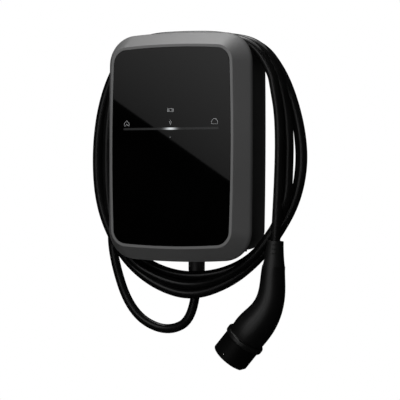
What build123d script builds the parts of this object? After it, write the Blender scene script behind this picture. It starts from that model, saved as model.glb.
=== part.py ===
# Wall-hung charging box for cars, with its fixed cable wound round it.
# Millimetres, wall plane at y = 0, front towards -Y, +X to the right, +Z up.
from math import cos, radians, sin, tan
import os
from build123d import *

os.makedirs("parts", exist_ok=True)

# Outer frame and glass
box_width = 282.0
box_height = 410.0
box_depth = 140.0
frame_side_bow = 1.8
frame_top_bow = 7.5
frame_corner = 53.0
slope_depth = 34.0
skirt_depth = 8.0
frame_wall = 3.0
slope_run_side = 19.8
slope_run_end = 23.9
glass_side_bow = 3.9
glass_top_bow = 5.2
glass_corner = 25.0
glass_thick = 3.0
glass_clearance = 0.3
lip = 5.0
ledge_width = 12.0
ledge_thick = 3.0
edge_round = 14.0
skirt_round = 2.0
lip_round = 1.2
glass_chamfer = 0.5

# Rear housing, cover and gasket
housing_inset = 16.0
housing_wall = 3.0
flange_thick = 3.5
flange_clearance = 0.4
recess_depth = 9.0
rear_round = 4.0
plate_thick = 3.0
plate_margin = 35.0
plate_back = 5.0
plate_gap = 9.0
plate_clearance = 3.0
gasket_thick = 1.5
cover_thick = 3.0
cover_inset = 14.5
cover_boss_r = 5.5
cover_boss_depth = 30.0
cover_boss_drop = 71.0
cover_boss_sink = 1.0
cover_boss_gap = 0.8
cover_screw_r = 2.0
cover_screw_bite = 9.0
frame_screw_r = 1.75
frame_screw_bite = 5.0
frame_screw_shift_side = 0.2
frame_screw_shift_end = 1.6
frame_boss_r = 4.5
frame_boss_depth = 8.5
screw_head = 2.2
screw_clearance = 0.5
hole_spare = 1.0
cover_rib = 3.0
cover_rib_depth = 6.0
cover_rib_pitch = 40.0
cover_rib_length = 120.0
cover_rib_z = -90.0

# Wall bracket
bracket_margin_x = 30.0
bracket_margin_z = 59.0
bracket_corner = 6.0
bracket_sheet = 2.0
bracket_lip = 18.0
wall_bolt_edge_x = 20.0
wall_bolt_edge_z = 30.0
wall_bolt_hole_r = 3.5
bracket_screw_edge = 25.0
bracket_screw_r = 2.5

# Supply cable entry in the rear wall
supply_drop = 23.0
supply_bore_r = 8.5
grommet_neck_r = 12.0
grommet_flange_r = 14.5
grommet_lip = 2.5

# Boards and the pieces on them
board_margin_x = 32.0
board_margin_z = 71.0
board_corner = 4.0
board_thick = 1.6
board_boss = 12.0
board_boss_r = 5.0
board_screw_r = 1.6
board_screw_bite = 8.0
board_edge = 9.0
ui_margin = 13.2
ui_edge = 8.0
ui_height = 126.0
ui_z = 52.0
ui_post = 16.0
light_margin = 22.6
light_height = 6.0
light_z = 31.8
led_count = 11
led_width = 3.5
led_height = 2.8
led_thick = 1.0
radio_width = 26.0
radio_height = 18.0
radio_thick = 3.5
radio_x = -55.0
radio_rise = 25.0
antenna_width = 64.0
antenna_height = 48.0
antenna_band = 6.0
antenna_thick = 0.8
antenna_rise = 22.0
terminal_depth = 34.0
terminal_mouth_r = 5.0
terminal_mouth_depth = 18.0
terminal_mouth_y = 14.0
terminal_screw_r = 3.5
terminal_screw_depth = 10.0
supply_block_width = 90.0
supply_block_height = 30.0
supply_block_z = 96.0
supply_pitch = 17.0
output_block_width = 104.0
output_block_height = 28.0
output_block_z = -98.0
output_pitch = 16.0
relay_height = 50.0
relay_depth = 27.0
relay_gap = 5.0
relay_aisle = 11.0
relay_z = 22.0
sensor_r = 24.0
sensor_bore_r = 13.0
sensor_depth = 22.0
sensor_z = -58.0
meter_height = 48.0
meter_depth = 22.0
meter_aisle = 22.2
meter_face_edge = 6.0
meter_face_height = 26.0
meter_face_depth = 6.0
meter_z = 46.0
module_height = 38.0
module_depth = 26.0
module_aisle = 44.52
module_z = -12.0
screw_room = 6.0
capacitor_r = 7.5
capacitor_depth = 25.0
capacitor_pitch = 18.0
capacitor_z = -60.0
capacitor_chamfer = 0.8

# Gland and cable
cable_d = 17.0
cable_x = 1.5
cable_y = 32.0
gland_hole_r = 12.5
gland_clearance = 0.3
gland_seat = 1.0
gland_seat_margin = 2.0
gland_flange_h = 7.0
gland_flange_r = 16.5
gland_sleeve_r = 11.0
gland_sleeve_h = 15.0
gland_nut_r = 15.0
gland_nut_h = 29.0
gland_nut_end = 4.0
gland_nut_round = 3.0
gland_nut_plain = 9.0
flute_count = 16
flute_r = 1.4
locknut_h = 5.0
locknut_wide = 5.0
inner_cable = 58.0

# Cable coil, from its inside and outside outlines
coil_back = 16.0
coil_front = 95.0
coil_mid = 76.0
coil_low_back = 49.0
coil_low_front = 66.0
coil_step_z = -125.0
coil_taper = 15.0
coil_clearance = 0.4
coil_right = 222.0
coil_left = 200.0
coil_top = 207.0
coil_bottom = 271.0
loop_right = 190.0
loop_left = 150.0
loop_top = 178.0
loop_bottom = 222.0
tail_start_z = 105.0
tail_bend_z = 50.0
tail_offset = 3.0
tail_run = 115.3

# Plug: a straight grip, a bend, then the straight nose
plug_y = 86.0
plug_top_x = 179.0
plug_top_z = -165.0
plug_lean = 4.0
plug_bend = 36.0
plug_bend_r = 98.0
plug_straight = 84.0
boot_length = 44.0
boot_top_d = 29.0
boot_mid_d = 32.5
boot_end_d = 39.0
boot_socket = 3.0
boot_slot_first = 5.0
boot_slot_pitch = 7.5
boot_slot_height = 2.6
boot_slot_width = 8.0
boot_slot_depth = 2.5
boot_slot_turn = -18.0
grip_step = 1.5
grip_d1 = 44.5
grip_d2 = 49.5
grip_d3 = 56.5
grip_d4 = 64.0
grip_end_d = 65.0
grip_end = 186.0
grip_wall = 4.0
collar_length = 10.0
collar_d = 74.0
collar_round = 2.5
nose_length = 39.0
nose_r = 34.0
nose_flat = 31.5
nose_wall = 3.5
carrier_clearance = 0.3
carrier_setback = 3.0
contact_r = 4.5
contact_bore_r = 3.0
contact_pitch = 16.5
contact_low_x = 9.0
contact_low_z = 16.0
contact_back = 6.0
signal_r = 2.6
signal_bore_r = 1.5
signal_x = 9.5
signal_z = 15.5
signal_short = 4.0

# Depths from the wall that follow from the sizes above
frame_edge = box_depth - slope_depth
skirt_rear = frame_edge - skirt_depth
flange_front = frame_edge - flange_thick
flange_rear = flange_front - flange_thick
plate_front = flange_rear - plate_gap
rear_wall_front = recess_depth + housing_wall
cover_rear = flange_front + gasket_thick
cover_front = cover_rear + cover_thick
glass_rear = box_depth - glass_thick
ledge_rear = glass_rear - ledge_thick
ui_rear = cover_front + ui_post
ui_front = ui_rear + board_thick
board_rear = rear_wall_front + board_boss
board_front = board_rear + board_thick
housing_width = box_width - 2 * housing_inset
housing_height = box_height - 2 * housing_inset
housing_bottom = -housing_height / 2 - gland_seat
glass_width = box_width - 2 * (slope_run_side + lip)
glass_height = box_height - 2 * (slope_run_end + lip)
light_length = glass_width - 2 * light_margin
bracket_width = housing_width - 2 * bracket_margin_x
bracket_height = housing_height - 2 * bracket_margin_z
wall_bolt_x = bracket_width - 2 * wall_bolt_edge_x
wall_bolt_z = bracket_height - 2 * wall_bolt_edge_z
bracket_screw_x = bracket_width - 2 * bracket_screw_edge
supply_z = housing_height / 2 - supply_drop
board_width = housing_width - 2 * board_margin_x
board_height = housing_height - 2 * board_margin_z
board_hole_x = board_width - 2 * board_edge
board_hole_z = board_height / 2 - board_edge
half_room = board_hole_x / 2 - screw_room
relay_width = (half_room - relay_aisle - relay_gap) / 2
meter_width = half_room - meter_aisle
module_width = half_room - module_aisle
relay_x = relay_width + relay_gap / 2 - half_room
meter_x = half_room - meter_width / 2
module_x = half_room - module_width / 2
ui_width = glass_width - 2 * ui_margin
ui_hole_x = ui_width - 2 * ui_edge
ui_hole_z = ui_height - 2 * ui_edge
screw_side_x = (box_width - frame_wall - housing_inset) / 2 - frame_screw_shift_side
screw_side_z = 100.0
screw_end_x = 60.0
screw_end_z = (box_height - frame_wall - housing_inset) / 2 - frame_screw_shift_end
cover_boss_x = housing_width / 2 - housing_wall - cover_boss_r + cover_boss_sink
cover_boss_z = housing_height / 2 - cover_boss_drop
cover_boss_end_x = 58.0
cover_boss_end_z = housing_height / 2 - housing_wall - cover_boss_r - cover_boss_gap


def pillow(sketch, width, height, side_bow, top_bow, corner):
    # Rounded rectangle with gently bowed sides, drawn on the open sketch
    half_w = width / 2
    half_h = height / 2
    side = half_w - side_bow
    top = half_h - top_bow
    with BuildLine() as sides:
        ThreePointArc((side, -top), (half_w, 0), (side, top))
        ThreePointArc((side, top), (0, half_h), (-side, top))
        ThreePointArc((-side, top), (-half_w, 0), (-side, -top))
        ThreePointArc((-side, -top), (0, -half_h), (side, -top))
    make_face(sides.edges())
    fillet(sketch.vertices(), radius=corner)


def frame_outline(sketch, inset):
    # The frame's widest outline, moved in by the inset
    pillow(sketch, box_width - 2 * inset, box_height - 2 * inset,
           frame_side_bow, frame_top_bow, frame_corner - inset)


def glass_outline(sketch, grow):
    # The glass outline, moved out by the growth
    pillow(sketch, glass_width + 2 * grow, glass_height + 2 * grow,
           glass_side_bow, glass_top_bow, glass_corner + grow)


def frame_screw_places():
    # Screws that hold the frame, two a side and two at top and bottom
    return [(x, z) for x in (-screw_side_x, screw_side_x) for z in (-screw_side_z, screw_side_z)] + [
        (x, z) for x in (-screw_end_x, screw_end_x) for z in (-screw_end_z, screw_end_z)]


def cover_screw_places():
    # Screws that hold the inner cover, three a side and two at top and bottom
    return [(x, z) for x in (-cover_boss_x, cover_boss_x) for z in (-cover_boss_z, 0, cover_boss_z)] + [
        (x, z) for x in (-cover_boss_end_x, cover_boss_end_x)
        for z in (-cover_boss_end_z, cover_boss_end_z)]


def finish(piece, node):
    # Labels a piece and writes its file
    piece.part.label = node
    export_step(piece.part, "parts/" + node + ".step")


# Painted frame: flat lip, straight slope, rounded shoulder and short skirt
with BuildPart() as front_frame:
    with BuildSketch(Plane.XZ.offset(frame_edge)) as shoulder_line:
        frame_outline(shoulder_line, 0)
    with BuildSketch(Plane.XZ.offset(box_depth)) as lip_line:
        glass_outline(lip_line, lip)
    loft(ruled=True)
    with BuildSketch(Plane.XZ.offset(skirt_rear)) as skirt_line:
        frame_outline(skirt_line, 0)
    extrude(amount=skirt_depth)
    shoulder = front_frame.edges().filter_by_position(Axis.Y, -frame_edge - 0.01, -frame_edge + 0.01)
    fillet(shoulder, radius=edge_round)
    rim = front_frame.edges().filter_by_position(Axis.Y, -skirt_rear - 0.01, -skirt_rear + 0.01)
    fillet(rim, radius=skirt_round)
    front_edge = front_frame.edges().filter_by_position(Axis.Y, -box_depth - 0.01, -box_depth + 0.01)
    fillet(front_edge, radius=lip_round)
    with BuildSketch(Plane.XZ.offset(skirt_rear)) as skirt_room:
        frame_outline(skirt_room, frame_wall)
    extrude(amount=skirt_depth, mode=Mode.SUBTRACT)
    with BuildSketch(Plane.XZ.offset(frame_edge)) as slope_room:
        frame_outline(slope_room, frame_wall)
    with BuildSketch(Plane.XZ.offset(ledge_rear)) as slope_room_end:
        glass_outline(slope_room_end, lip)
    loft(ruled=True, mode=Mode.SUBTRACT)
    with BuildSketch(Plane.XZ.offset(glass_rear)) as glass_seat:
        glass_outline(glass_seat, glass_clearance)
    extrude(amount=glass_thick + hole_spare, mode=Mode.SUBTRACT)
    with BuildSketch(Plane.XZ.offset(ledge_rear - hole_spare)) as window:
        glass_outline(window, -ledge_width)
    extrude(amount=ledge_thick + 2 * hole_spare, mode=Mode.SUBTRACT)
    # Screw posts on the inside of the shoulder
    with BuildSketch(Plane.XZ.offset(flange_front)):
        with Locations(*frame_screw_places()):
            Circle(frame_boss_r)
    extrude(amount=frame_boss_depth)
    with BuildSketch(Plane.XZ.offset(flange_front)):
        with Locations(*frame_screw_places()):
            Circle(frame_screw_r)
    extrude(amount=frame_screw_bite + hole_spare, mode=Mode.SUBTRACT)
finish(front_frame, "front_frame")

# Dark glass panel seated in the frame
with BuildPart() as front_glass:
    with BuildSketch(Plane.XZ.offset(glass_rear)) as glass_line:
        glass_outline(glass_line, 0)
    extrude(amount=glass_thick)
    glass_edge = front_glass.edges().filter_by_position(Axis.Y, -box_depth - 0.01, -box_depth + 0.01)
    chamfer(glass_edge, length=glass_chamfer)
finish(front_glass, "front_glass")

# Housing: drum behind the frame, open at the front, with a recess for the bracket
with BuildPart() as rear_housing:
    with BuildSketch(Plane.XZ) as drum_line:
        frame_outline(drum_line, housing_inset)
    extrude(amount=flange_front)
    back_rim = rear_housing.edges().filter_by_position(Axis.Y, -0.01, 0.01)
    fillet(back_rim, radius=rear_round)
    with BuildSketch(Plane.XZ.offset(flange_rear)) as flange_line:
        frame_outline(flange_line, frame_wall + flange_clearance)
    extrude(amount=flange_thick)
    with BuildSketch(Plane.XZ.offset(rear_wall_front)) as tub_room:
        frame_outline(tub_room, housing_inset + housing_wall)
    extrude(amount=box_depth, mode=Mode.SUBTRACT)
    with BuildSketch(Plane.XZ) as bracket_room:
        frame_outline(bracket_room, housing_inset + rear_round + hole_spare)
    extrude(amount=recess_depth, mode=Mode.SUBTRACT)
    # Posts for the power board
    with BuildSketch(Plane.XZ.offset(rear_wall_front)):
        with GridLocations(board_hole_x, board_hole_z, 2, 3):
            Circle(board_boss_r)
    extrude(amount=board_boss)
    with BuildSketch(Plane.XZ.offset(rear_wall_front)):
        with GridLocations(board_hole_x, board_hole_z, 2, 3):
            Circle(board_screw_r)
    extrude(amount=board_boss, mode=Mode.SUBTRACT)
    # Posts for the inner cover, against the walls
    with BuildSketch(Plane.XZ.offset(flange_front - cover_boss_depth)):
        with Locations(*cover_screw_places()):
            Circle(cover_boss_r)
    extrude(amount=cover_boss_depth)
    with BuildSketch(Plane.XZ.offset(flange_front - cover_screw_bite - hole_spare)):
        with Locations(*cover_screw_places()):
            Circle(cover_screw_r)
    extrude(amount=cover_screw_bite + hole_spare, mode=Mode.SUBTRACT)
    # Holes for the frame screws in the flange
    with BuildSketch(Plane.XZ.offset(flange_rear)):
        with Locations(*frame_screw_places()):
            Circle(frame_screw_r + screw_clearance)
    extrude(amount=flange_thick, mode=Mode.SUBTRACT)
    # Holes in the rear wall for the bracket screws and the supply cable
    with BuildSketch(Plane.XZ.offset(recess_depth)):
        with GridLocations(bracket_screw_x, bracket_height + bracket_lip, 2, 2):
            Circle(bracket_screw_r + screw_clearance)
        with Locations((0, supply_z)):
            Circle(grommet_neck_r)
    extrude(amount=housing_wall, mode=Mode.SUBTRACT)
    # Flat seat and hole for the cable gland
    with BuildSketch(Plane.XY.offset(housing_bottom)):
        with Locations((cable_x, -cable_y)):
            Circle(gland_flange_r + gland_seat_margin)
    extrude(amount=housing_wall + gland_seat + hole_spare)
    with BuildSketch(Plane.XY.offset(housing_bottom)):
        with Locations((cable_x, -cable_y)):
            Circle(gland_hole_r)
    extrude(amount=housing_wall + gland_seat + 2 * hole_spare, mode=Mode.SUBTRACT)
finish(rear_housing, "rear_housing")

# Plate under the housing that closes the wiring space, with room for the cable gland
with BuildPart() as bottom_plate:
    with BuildSketch(Plane.XZ.offset(plate_back)) as plate_line:
        frame_outline(plate_line, housing_inset - plate_thick)
    extrude(amount=plate_front - plate_back)
    with BuildSketch(Plane.XZ.offset(plate_back)):
        with Locations((0, -box_height / 2)):
            Rectangle(housing_width - 2 * plate_margin, box_height / 2)
    extrude(amount=plate_front - plate_back, mode=Mode.INTERSECT)
    with BuildSketch(Plane.XZ.offset(plate_back)) as plate_room:
        frame_outline(plate_room, housing_inset)
    extrude(amount=plate_front - plate_back, mode=Mode.SUBTRACT)
    with BuildSketch(Plane.XY.offset(-box_height / 2)):
        with Locations((cable_x, -cable_y)):
            Circle(gland_flange_r + plate_clearance)
    extrude(amount=box_height / 4, mode=Mode.SUBTRACT)
finish(bottom_plate, "bottom_plate")

# Wall bracket: one folded sheet with a top and a bottom lip
with BuildPart() as wall_bracket:
    with BuildSketch(Plane.XZ):
        RectangleRounded(bracket_width, bracket_height, bracket_corner)
    extrude(amount=bracket_sheet)
    with BuildSketch(Plane.XZ):
        fold_z = (bracket_height - bracket_sheet) / 2
        with Locations((0, fold_z), (0, -fold_z)):
            Rectangle(bracket_width - 2 * bracket_corner, bracket_sheet)
    extrude(amount=recess_depth)
    with BuildSketch(Plane.XZ.offset(recess_depth - bracket_sheet)):
        lip_z = (bracket_height + bracket_lip - bracket_sheet) / 2
        with Locations((0, lip_z), (0, -lip_z)):
            Rectangle(bracket_width - 2 * bracket_corner, bracket_lip + bracket_sheet)
    extrude(amount=bracket_sheet)
    with BuildSketch(Plane.XZ):
        with GridLocations(wall_bolt_x, wall_bolt_z, 2, 2):
            Circle(wall_bolt_hole_r)
    extrude(amount=bracket_sheet, mode=Mode.SUBTRACT)
    with BuildSketch(Plane.XZ.offset(recess_depth - bracket_sheet)):
        with GridLocations(bracket_screw_x, bracket_height + bracket_lip, 2, 2):
            Circle(bracket_screw_r)
    extrude(amount=bracket_sheet, mode=Mode.SUBTRACT)
finish(wall_bracket, "wall_bracket")

# Screws from inside the housing into the bracket's lips
with BuildPart() as bracket_screws:
    with BuildSketch(Plane.XZ.offset(recess_depth - bracket_sheet)):
        with GridLocations(bracket_screw_x, bracket_height + bracket_lip, 2, 2):
            Circle(bracket_screw_r)
    extrude(amount=bracket_sheet + housing_wall)
    with BuildSketch(Plane.XZ.offset(rear_wall_front)):
        with GridLocations(bracket_screw_x, bracket_height + bracket_lip, 2, 2):
            Circle(bracket_screw_r * 2)
    extrude(amount=screw_head)
finish(bracket_screws, "bracket_screws")

# Rubber grommet for the supply cable
with BuildPart() as supply_grommet:
    with BuildSketch(Plane.XZ.offset(recess_depth - grommet_lip)):
        with Locations((0, supply_z)):
            Circle(grommet_flange_r)
    extrude(amount=grommet_lip)
    with BuildSketch(Plane.XZ.offset(recess_depth)):
        with Locations((0, supply_z)):
            Circle(grommet_neck_r)
    extrude(amount=housing_wall)
    with BuildSketch(Plane.XZ.offset(rear_wall_front)):
        with Locations((0, supply_z)):
            Circle(grommet_flange_r)
    extrude(amount=grommet_lip)
    with BuildSketch(Plane.XZ.offset(recess_depth - grommet_lip)):
        with Locations((0, supply_z)):
            Circle(supply_bore_r)
    extrude(amount=housing_wall + 2 * grommet_lip, mode=Mode.SUBTRACT)
finish(supply_grommet, "supply_grommet")

# Seal between the housing's rim and the inner cover
with BuildPart() as cover_gasket:
    with BuildSketch(Plane.XZ.offset(flange_front)) as gasket_line:
        frame_outline(gasket_line, cover_inset)
    extrude(amount=gasket_thick)
    with BuildSketch(Plane.XZ.offset(flange_front)) as gasket_room:
        frame_outline(gasket_room, housing_inset + housing_wall)
    extrude(amount=gasket_thick, mode=Mode.SUBTRACT)
finish(cover_gasket, "cover_gasket")

# Inner cover with posts for the display board
with BuildPart() as inner_cover:
    with BuildSketch(Plane.XZ.offset(cover_rear)) as cover_line:
        frame_outline(cover_line, cover_inset)
    extrude(amount=cover_thick)
    with BuildSketch(Plane.XZ.offset(flange_front)):
        with Locations(*cover_screw_places()):
            Circle(cover_screw_r + hole_spare)
    extrude(amount=gasket_thick)
    with BuildSketch(Plane.XZ.offset(cover_front)):
        with Locations((0, ui_z)):
            with GridLocations(ui_hole_x, ui_hole_z, 2, 2):
                Circle(board_boss_r)
    extrude(amount=ui_post)
    with BuildSketch(Plane.XZ.offset(cover_front)):
        with Locations((0, ui_z)):
            with GridLocations(ui_hole_x, ui_hole_z, 2, 2):
                Circle(board_screw_r)
    extrude(amount=ui_post, mode=Mode.SUBTRACT)
    with BuildSketch(Plane.XZ.offset(flange_front)):
        with Locations(*cover_screw_places()):
            Circle(cover_screw_r)
    extrude(amount=cover_thick + gasket_thick, mode=Mode.SUBTRACT)
    # Stiffening ribs below the display board
    with BuildSketch(Plane.XZ.offset(cover_front)):
        with Locations((0, cover_rib_z)):
            with GridLocations(cover_rib_pitch, 1, 5, 1):
                Rectangle(cover_rib, cover_rib_length)
    extrude(amount=cover_rib_depth)
finish(inner_cover, "inner_cover")

# Screws of the inner cover
with BuildPart() as cover_screws:
    with BuildSketch(Plane.XZ.offset(flange_front - cover_screw_bite)):
        with Locations(*cover_screw_places()):
            Circle(cover_screw_r)
    extrude(amount=cover_screw_bite + gasket_thick + cover_thick)
    with BuildSketch(Plane.XZ.offset(cover_front)):
        with Locations(*cover_screw_places()):
            Circle(cover_screw_r * 2)
    extrude(amount=screw_head)
finish(cover_screws, "cover_screws")

# Screws that hold the frame, put in from behind the flange
with BuildPart() as frame_screws:
    with BuildSketch(Plane.XZ.offset(flange_rear)):
        with Locations(*frame_screw_places()):
            Circle(frame_screw_r)
    extrude(amount=flange_thick + frame_screw_bite)
    with BuildSketch(Plane.XZ.offset(flange_rear - screw_head)):
        with Locations(*frame_screw_places()):
            Circle(frame_screw_r * 2)
    extrude(amount=screw_head)
finish(frame_screws, "frame_screws")

# Power board on the housing's posts
with BuildPart() as power_board:
    with BuildSketch(Plane.XZ.offset(board_rear)):
        RectangleRounded(board_width, board_height, board_corner)
        with GridLocations(board_hole_x, board_hole_z, 2, 3):
            Circle(board_screw_r, mode=Mode.SUBTRACT)
    extrude(amount=board_thick)
finish(power_board, "power_board")

with BuildPart() as board_screws:
    with BuildSketch(Plane.XZ.offset(board_rear - board_screw_bite)):
        with GridLocations(board_hole_x, board_hole_z, 2, 3):
            Circle(board_screw_r)
    extrude(amount=board_screw_bite + board_thick)
    with BuildSketch(Plane.XZ.offset(board_front)):
        with GridLocations(board_hole_x, board_hole_z, 2, 3):
            Circle(board_screw_r * 2)
    extrude(amount=screw_head)
finish(board_screws, "board_screws")

# Terminals for the supply cable, with wire mouths on top and screws in front
with BuildPart() as supply_terminals:
    with BuildSketch(Plane.XZ.offset(board_front)):
        with Locations((0, supply_block_z)):
            Rectangle(supply_block_width, supply_block_height)
    extrude(amount=terminal_depth)
    with BuildSketch(Plane.XY.offset(supply_block_z + supply_block_height / 2)):
        with Locations((0, -board_front - terminal_mouth_y)):
            with GridLocations(supply_pitch, 1, 5, 1):
                Circle(terminal_mouth_r)
    extrude(amount=-terminal_mouth_depth, mode=Mode.SUBTRACT)
    with BuildSketch(Plane.XZ.offset(board_front + terminal_depth)):
        with Locations((0, supply_block_z)):
            with GridLocations(supply_pitch, 1, 5, 1):
                Circle(terminal_screw_r)
    extrude(amount=-terminal_screw_depth, mode=Mode.SUBTRACT)
finish(supply_terminals, "supply_terminals")

# Terminals for the charging cable, with wire mouths below
with BuildPart() as output_terminals:
    with BuildSketch(Plane.XZ.offset(board_front)):
        with Locations((0, output_block_z)):
            Rectangle(output_block_width, output_block_height)
    extrude(amount=terminal_depth)
    with BuildSketch(Plane.XY.offset(output_block_z - output_block_height / 2)):
        with Locations((0, -board_front - terminal_mouth_y)):
            with GridLocations(output_pitch, 1, 6, 1):
                Circle(terminal_mouth_r)
    extrude(amount=terminal_mouth_depth, mode=Mode.SUBTRACT)
    with BuildSketch(Plane.XZ.offset(board_front + terminal_depth)):
        with Locations((0, output_block_z)):
            with GridLocations(output_pitch, 1, 6, 1):
                Circle(terminal_screw_r)
    extrude(amount=-terminal_screw_depth, mode=Mode.SUBTRACT)
finish(output_terminals, "output_terminals")

# Four switching relays
with BuildPart() as relays:
    with BuildSketch(Plane.XZ.offset(board_front)):
        with Locations((relay_x, relay_z)):
            with GridLocations(relay_width + relay_gap, relay_height + relay_gap, 2, 2):
                Rectangle(relay_width, relay_height)
    extrude(amount=relay_depth)
finish(relays, "relays")

# Ring that senses fault current
with BuildPart() as fault_sensor:
    with BuildSketch(Plane.XZ.offset(board_front)):
        with Locations((0, sensor_z)):
            Circle(sensor_r)
            Circle(sensor_bore_r, mode=Mode.SUBTRACT)
    extrude(amount=sensor_depth)
finish(fault_sensor, "fault_sensor")

# Energy meter module with a stepped front
with BuildPart() as energy_meter:
    with BuildSketch(Plane.XZ.offset(board_front)):
        with Locations((meter_x, meter_z)):
            Rectangle(meter_width, meter_height)
    extrude(amount=meter_depth)
    with BuildSketch(Plane.XZ.offset(board_front + meter_depth)):
        with Locations((meter_x, meter_z)):
            Rectangle(meter_width - 2 * meter_face_edge, meter_face_height)
    extrude(amount=meter_face_depth)
finish(energy_meter, "energy_meter")

# Small power supply: a boxed transformer and three tall capacitors
with BuildPart() as supply_module:
    with BuildSketch(Plane.XZ.offset(board_front)):
        with Locations((module_x, module_z)):
            Rectangle(module_width, module_height)
    extrude(amount=module_depth)
finish(supply_module, "supply_module")

with BuildPart() as capacitors:
    with BuildSketch(Plane.XZ.offset(board_front)):
        with Locations((module_x, capacitor_z)):
            with GridLocations(1, capacitor_pitch, 1, 3):
                Circle(capacitor_r)
    extrude(amount=capacitor_depth)
    chamfer(capacitors.faces().sort_by(Axis.Y)[:3].edges(), length=capacitor_chamfer)
finish(capacitors, "capacitors")

# Display board behind the glass, on the cover's posts
with BuildPart() as display_board:
    with BuildSketch(Plane.XZ.offset(ui_rear)):
        with Locations((0, ui_z)):
            RectangleRounded(ui_width, ui_height, board_corner)
            with GridLocations(ui_hole_x, ui_hole_z, 2, 2):
                Circle(board_screw_r, mode=Mode.SUBTRACT)
    extrude(amount=board_thick)
finish(display_board, "display_board")

with BuildPart() as display_screws:
    with BuildSketch(Plane.XZ.offset(ui_rear - board_screw_bite)):
        with Locations((0, ui_z)):
            with GridLocations(ui_hole_x, ui_hole_z, 2, 2):
                Circle(board_screw_r)
    extrude(amount=board_screw_bite + board_thick)
    with BuildSketch(Plane.XZ.offset(ui_front)):
        with Locations((0, ui_z)):
            with GridLocations(ui_hole_x, ui_hole_z, 2, 2):
                Circle(board_screw_r * 2)
    extrude(amount=screw_head)
finish(display_screws, "display_screws")

# Shielded radio module on the back of the display board
with BuildPart() as radio_module:
    with BuildSketch(Plane.XZ.offset(ui_rear - radio_thick)):
        with Locations((radio_x, ui_z + radio_rise)):
            Rectangle(radio_width, radio_height)
    extrude(amount=radio_thick)
finish(radio_module, "radio_module")

# Flat loop that reads cards, on the front of the display board
with BuildPart() as card_antenna:
    with BuildSketch(Plane.XZ.offset(ui_front)):
        with Locations((0, ui_z + antenna_rise)):
            RectangleRounded(antenna_width, antenna_height, antenna_band)
            Rectangle(antenna_width - 2 * antenna_band, antenna_height - 2 * antenna_band,
                      mode=Mode.SUBTRACT)
    extrude(amount=antenna_thick)
finish(card_antenna, "card_antenna")

# Row of status lights and the clear bar that carries them to the glass
with BuildPart() as status_lights:
    with BuildSketch(Plane.XZ.offset(ui_front)):
        with Locations((0, light_z)):
            with GridLocations(light_length / led_count, 1, led_count, 1):
                Rectangle(led_width, led_height)
    extrude(amount=led_thick)
finish(status_lights, "status_lights")

with BuildPart() as light_guide:
    with BuildSketch(Plane.XZ.offset(ui_front + led_thick)):
        with Locations((0, light_z)):
            SlotOverall(light_length, light_height)
    extrude(amount=glass_rear - ui_front - led_thick)
finish(light_guide, "light_guide")

# Cable gland: body through the housing, nut inside, seal and ribbed cap outside
with BuildPart() as gland_body:
    with BuildSketch(Plane.XY.offset(housing_bottom - gland_flange_h)):
        with Locations((cable_x, -cable_y)):
            RegularPolygon(gland_flange_r, 6)
    extrude(amount=gland_flange_h)
    with BuildSketch(Plane.XY.offset(housing_bottom)):
        with Locations((cable_x, -cable_y)):
            Circle(gland_hole_r - gland_clearance)
    extrude(amount=housing_wall + gland_seat + 2 * hole_spare + locknut_h)
    with BuildSketch(Plane.XY.offset(housing_bottom - gland_flange_h)):
        with Locations((cable_x, -cable_y)):
            Circle(gland_sleeve_r)
    extrude(amount=-gland_sleeve_h)
    with BuildSketch(Plane.XY.offset(housing_bottom - gland_flange_h - gland_sleeve_h)):
        with Locations((cable_x, -cable_y)):
            Circle(cable_d / 2 + gland_clearance)
    extrude(amount=inner_cable, mode=Mode.SUBTRACT)
finish(gland_body, "gland_body")

with BuildPart() as gland_locknut:
    with BuildSketch(Plane.XY.offset(housing_bottom + housing_wall + gland_seat + hole_spare)):
        with Locations((cable_x, -cable_y)):
            RegularPolygon(gland_hole_r + locknut_wide, 6)
            Circle(gland_hole_r - gland_clearance, mode=Mode.SUBTRACT)
    extrude(amount=locknut_h)
finish(gland_locknut, "gland_locknut")

with BuildPart() as gland_seal:
    with BuildSketch(Plane.XY.offset(housing_bottom - gland_flange_h - gland_sleeve_h)):
        with Locations((cable_x, -cable_y)):
            Circle(gland_sleeve_r)
            Circle(cable_d / 2, mode=Mode.SUBTRACT)
    extrude(amount=-(gland_nut_h - gland_sleeve_h - gland_nut_end))
finish(gland_seal, "gland_seal")

with BuildPart() as gland_nut:
    with BuildSketch(Plane.XY.offset(housing_bottom - gland_flange_h)):
        with Locations((cable_x, -cable_y)):
            Circle(gland_nut_r)
    extrude(amount=-gland_nut_h)
    nut_end = gland_nut.faces().sort_by(Axis.Z)[0].edges()
    fillet(nut_end, radius=gland_nut_round)
    # Grip flutes round the cap
    with BuildSketch(Plane.XY.offset(housing_bottom - gland_flange_h)):
        with Locations((cable_x, -cable_y)):
            with PolarLocations(gland_nut_r + flute_r / 2, flute_count):
                Circle(flute_r)
    extrude(amount=-(gland_nut_h - gland_nut_plain), mode=Mode.SUBTRACT)
    with BuildSketch(Plane.XY.offset(housing_bottom - gland_flange_h)):
        with Locations((cable_x, -cable_y)):
            Circle(gland_sleeve_r)
    extrude(amount=-(gland_nut_h - gland_nut_end), mode=Mode.SUBTRACT)
    with BuildSketch(Plane.XY.offset(housing_bottom - gland_flange_h)):
        with Locations((cable_x, -cable_y)):
            Circle(cable_d / 2 + gland_clearance)
    extrude(amount=-gland_nut_h, mode=Mode.SUBTRACT)
finish(gland_nut, "gland_nut")

# The cable's end inside the gland and housing
cable_exit_z = housing_bottom - gland_flange_h - gland_nut_h
with BuildPart() as cable_inner_end:
    with BuildSketch(Plane.XY.offset(cable_exit_z)):
        with Locations((cable_x, -cable_y)):
            Circle(cable_d / 2)
    extrude(amount=inner_cable)
finish(cable_inner_end, "cable_inner_end")


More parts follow.
